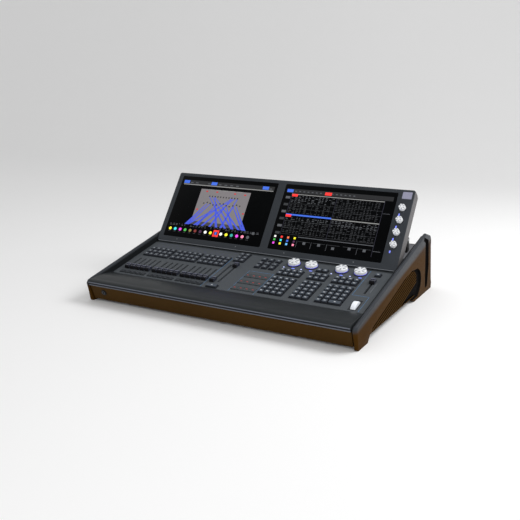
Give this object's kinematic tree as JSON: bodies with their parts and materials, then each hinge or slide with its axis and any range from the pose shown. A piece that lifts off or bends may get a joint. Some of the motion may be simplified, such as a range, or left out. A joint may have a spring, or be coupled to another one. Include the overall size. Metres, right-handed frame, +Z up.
{
  "type": "lighting control desk",
  "caption": "Wedge-shaped lighting control desk with side cheeks, tilting twin touch screens, motor faders, rotary encoders, lit key banks and an intensity wheel.",
  "frame": {"origin": "middle of the footprint on the surface the desk stands on", "axes": "+X along the width to the operator's right, +Y to the rear, +Z up"},
  "size_m": [0.85, 0.6439, 0.3293],
  "materials": {
    "bronze": "brown anodised, satin",
    "panel": "fine textured slate paint",
    "top_moulding": "satin moulded",
    "black_metal": "black powder coat",
    "rubber": "matte",
    "black_plastic": "moulded",
    "bare_metal": "plated",
    "board": "solder mask",
    "case_grey": "satin grey",
    "bezel": "satin slate",
    "screen_glass": "black touch glass over lit display",
    "fader_cap": "moulded",
    "silver": "turned and faceted",
    "wheel_white": "lit from inside",
    "key_cap": "moulded, legend lit",
    "key_flat": "moulded, flat"
  },
  "bodies": {
    "desk": {"base_tray": "black_metal", "front_fascia": "bronze", "palm_rest": "top_moulding", "control_panel": "panel", "cheek_left": "bronze", "cheek_right": "bronze", "louvres": "bronze", "side_rails": "black_metal", "rear_deck": "top_moulding", "rear_panel": "black_metal", "connectors": "black_plastic", "rubber_feet": "rubber", "fader_tracks": "bare_metal", "encoder_modules": "bare_metal", "circuit_boards": "board", "power_supply": "bare_metal", "hinge_brackets": "black_metal", "hinge_pins": "bare_metal"},
    "screen_unit": {"screen_housing": "case_grey", "screen_bezel": "bezel", "touch_glasses": "screen_glass", "display_panels": "black_plastic", "hinge_lugs": "black_metal"},
    "fader_knob_1": {"fader_knob_1": "fader_cap"},
    "fader_knob_2": {"fader_knob_2": "fader_cap"},
    "fader_knob_3": {"fader_knob_3": "fader_cap"},
    "fader_knob_4": {"fader_knob_4": "fader_cap"},
    "fader_knob_5": {"fader_knob_5": "fader_cap"},
    "fader_knob_6": {"fader_knob_6": "fader_cap"},
    "fader_knob_7": {"fader_knob_7": "fader_cap"},
    "fader_knob_8": {"fader_knob_8": "fader_cap"},
    "fader_knob_9": {"fader_knob_9": "fader_cap"},
    "fader_knob_10": {"fader_knob_10": "fader_cap"},
    "fader_knob_11": {"fader_knob_11": "fader_cap"},
    "fader_knob_12": {"fader_knob_12": "fader_cap"},
    "fader_knob_13": {"fader_knob_13": "fader_cap"},
    "fader_knob_14": {"fader_knob_14": "fader_cap"},
    "fader_knob_15": {"fader_knob_15": "fader_cap"},
    "crossfader_knob_left": {"crossfader_knob_left": "fader_cap"},
    "crossfader_knob_right": {"crossfader_knob_right": "fader_cap"},
    "grand_master_knob": {"grand_master_knob": "fader_cap"},
    "desk_encoder_1": {"desk_encoder_1": "silver"},
    "desk_encoder_2": {"desk_encoder_2": "silver"},
    "desk_encoder_3": {"desk_encoder_3": "silver"},
    "desk_encoder_4": {"desk_encoder_4": "silver"},
    "screen_encoder_1": {"screen_encoder_1": "silver"},
    "screen_encoder_2": {"screen_encoder_2": "silver"},
    "screen_encoder_3": {"screen_encoder_3": "silver"},
    "screen_encoder_4": {"screen_encoder_4": "silver"},
    "intensity_wheel": {"intensity_wheel": "wheel_white"},
    "playback_keys": {"playback_keys": "key_cap"},
    "flash_keys": {"flash_keys": "key_flat"},
    "master_keys": {"master_keys": "key_cap"},
    "go_key": {"go_key": "key_cap"},
    "menu_keys": {"menu_keys": "key_cap"},
    "macro_keys": {"macro_keys": "key_flat"},
    "keypad_left": {"keypad_left": "key_cap"},
    "keypad_middle": {"keypad_middle": "key_cap"},
    "keypad_right": {"keypad_right": "key_cap"},
    "blackout_key": {"blackout_key": "key_cap"}
  },
  "joints": [
    {"name": "screen_tilt", "type": "hinge", "parent": "desk", "child": "screen_unit", "pos_m": [0, 0.11822, 0.19182], "axis": [1, 0, 0], "range_deg": [-25, 0]},
    {"name": "fader_slide_1", "type": "slide", "parent": "desk", "child": "fader_knob_1", "axis": [0, 0.9759, 0.2181], "range_m": [0, 0.06]},
    {"name": "fader_slide_2", "type": "slide", "parent": "desk", "child": "fader_knob_2", "axis": [0, 0.9759, 0.2181], "range_m": [0, 0.06]},
    {"name": "fader_slide_3", "type": "slide", "parent": "desk", "child": "fader_knob_3", "axis": [0, 0.9759, 0.2181], "range_m": [0, 0.06]},
    {"name": "fader_slide_4", "type": "slide", "parent": "desk", "child": "fader_knob_4", "axis": [0, 0.9759, 0.2181], "range_m": [0, 0.06]},
    {"name": "fader_slide_5", "type": "slide", "parent": "desk", "child": "fader_knob_5", "axis": [0, 0.9759, 0.2181], "range_m": [0, 0.06]},
    {"name": "fader_slide_6", "type": "slide", "parent": "desk", "child": "fader_knob_6", "axis": [0, 0.9759, 0.2181], "range_m": [0, 0.06]},
    {"name": "fader_slide_7", "type": "slide", "parent": "desk", "child": "fader_knob_7", "axis": [0, 0.9759, 0.2181], "range_m": [0, 0.06]},
    {"name": "fader_slide_8", "type": "slide", "parent": "desk", "child": "fader_knob_8", "axis": [0, 0.9759, 0.2181], "range_m": [0, 0.06]},
    {"name": "fader_slide_9", "type": "slide", "parent": "desk", "child": "fader_knob_9", "axis": [0, 0.9759, 0.2181], "range_m": [0, 0.06]},
    {"name": "fader_slide_10", "type": "slide", "parent": "desk", "child": "fader_knob_10", "axis": [0, 0.9759, 0.2181], "range_m": [0, 0.06]},
    {"name": "fader_slide_11", "type": "slide", "parent": "desk", "child": "fader_knob_11", "axis": [0, 0.9759, 0.2181], "range_m": [0, 0.06]},
    {"name": "fader_slide_12", "type": "slide", "parent": "desk", "child": "fader_knob_12", "axis": [0, 0.9759, 0.2181], "range_m": [0, 0.06]},
    {"name": "fader_slide_13", "type": "slide", "parent": "desk", "child": "fader_knob_13", "axis": [0, 0.9759, 0.2181], "range_m": [0, 0.06]},
    {"name": "fader_slide_14", "type": "slide", "parent": "desk", "child": "fader_knob_14", "axis": [0, 0.9759, 0.2181], "range_m": [0, 0.06]},
    {"name": "fader_slide_15", "type": "slide", "parent": "desk", "child": "fader_knob_15", "axis": [0, 0.9759, 0.2181], "range_m": [0, 0.06]},
    {"name": "crossfader_slide_left", "type": "slide", "parent": "desk", "child": "crossfader_knob_left", "axis": [0, 0.9759, 0.2181], "range_m": [0, 0.1]},
    {"name": "crossfader_slide_right", "type": "slide", "parent": "desk", "child": "crossfader_knob_right", "axis": [0, 0.9759, 0.2181], "range_m": [-0.1, 0]},
    {"name": "grand_master_slide", "type": "slide", "parent": "desk", "child": "grand_master_knob", "axis": [0, 0.9759, 0.2181], "range_m": [-0.06, 0]},
    {"name": "desk_encoder_turn_1", "type": "hinge", "parent": "desk", "child": "desk_encoder_1", "pos_m": [0.109, -0.0136, 0.11185], "axis": [0, -0.2181, 0.9759], "continuous": true},
    {"name": "desk_encoder_turn_2", "type": "hinge", "parent": "desk", "child": "desk_encoder_2", "pos_m": [0.165, -0.0136, 0.11185], "axis": [0, -0.2181, 0.9759], "continuous": true},
    {"name": "desk_encoder_turn_3", "type": "hinge", "parent": "desk", "child": "desk_encoder_3", "pos_m": [0.259, -0.0136, 0.11185], "axis": [0, -0.2181, 0.9759], "continuous": true},
    {"name": "desk_encoder_turn_4", "type": "hinge", "parent": "desk", "child": "desk_encoder_4", "pos_m": [0.3155, -0.0136, 0.11185], "axis": [0, -0.2181, 0.9759], "continuous": true},
    {"name": "screen_encoder_turn_1", "type": "hinge", "parent": "screen_unit", "child": "screen_encoder_1", "pos_m": [0.3837, 0.05575, 0.18666], "axis": [0, -0.8161, 0.5779], "continuous": true},
    {"name": "screen_encoder_turn_2", "type": "hinge", "parent": "screen_unit", "child": "screen_encoder_2", "pos_m": [0.3837, 0.07794, 0.21801], "axis": [0, -0.8161, 0.5779], "continuous": true},
    {"name": "screen_encoder_turn_3", "type": "hinge", "parent": "screen_unit", "child": "screen_encoder_3", "pos_m": [0.3837, 0.10013, 0.24935], "axis": [0, -0.8161, 0.5779], "continuous": true},
    {"name": "screen_encoder_turn_4", "type": "hinge", "parent": "screen_unit", "child": "screen_encoder_4", "pos_m": [0.3837, 0.12232, 0.28068], "axis": [0, -0.8161, 0.5779], "continuous": true},
    {"name": "intensity_wheel_turn", "type": "hinge", "parent": "desk", "child": "intensity_wheel", "pos_m": [0.367, -0.17677, 0.05795], "axis": [1, 0, 0], "continuous": true},
    {"name": "playback_keys_press", "type": "slide", "parent": "desk", "child": "playback_keys", "axis": [0, 0.2181, -0.9759], "range_m": [0, 0.002], "stiffness_N_per_m": 13500, "springref_m": -0.001},
    {"name": "flash_keys_press", "type": "slide", "parent": "desk", "child": "flash_keys", "axis": [0, 0.2181, -0.9759], "range_m": [0, 0.002], "stiffness_N_per_m": 4500, "springref_m": -0.001},
    {"name": "master_keys_press", "type": "slide", "parent": "desk", "child": "master_keys", "axis": [0, 0.2181, -0.9759], "range_m": [0, 0.002], "stiffness_N_per_m": 1800, "springref_m": -0.001},
    {"name": "go_key_press", "type": "slide", "parent": "desk", "child": "go_key", "axis": [0, 0.2181, -0.9759], "range_m": [0, 0.002], "stiffness_N_per_m": 600, "springref_m": -0.001},
    {"name": "menu_keys_press", "type": "slide", "parent": "desk", "child": "menu_keys", "axis": [0, 0.2181, -0.9759], "range_m": [0, 0.002], "stiffness_N_per_m": 2700, "springref_m": -0.001},
    {"name": "macro_keys_press", "type": "slide", "parent": "desk", "child": "macro_keys", "axis": [0, 0.2181, -0.9759], "range_m": [0, 0.002], "stiffness_N_per_m": 3600, "springref_m": -0.001},
    {"name": "keypad_left_press", "type": "slide", "parent": "desk", "child": "keypad_left", "axis": [0, 0.2181, -0.9759], "range_m": [0, 0.002], "stiffness_N_per_m": 8400, "springref_m": -0.001},
    {"name": "keypad_middle_press", "type": "slide", "parent": "desk", "child": "keypad_middle", "axis": [0, 0.2181, -0.9759], "range_m": [0, 0.002], "stiffness_N_per_m": 6900, "springref_m": -0.001},
    {"name": "keypad_right_press", "type": "slide", "parent": "desk", "child": "keypad_right", "axis": [0, 0.2181, -0.9759], "range_m": [0, 0.002], "stiffness_N_per_m": 8100, "springref_m": -0.001},
    {"name": "blackout_key_press", "type": "slide", "parent": "desk", "child": "blackout_key", "axis": [0, 0.2181, -0.9759], "range_m": [0, 0.002], "stiffness_N_per_m": 300, "springref_m": -0.001}
  ]
}
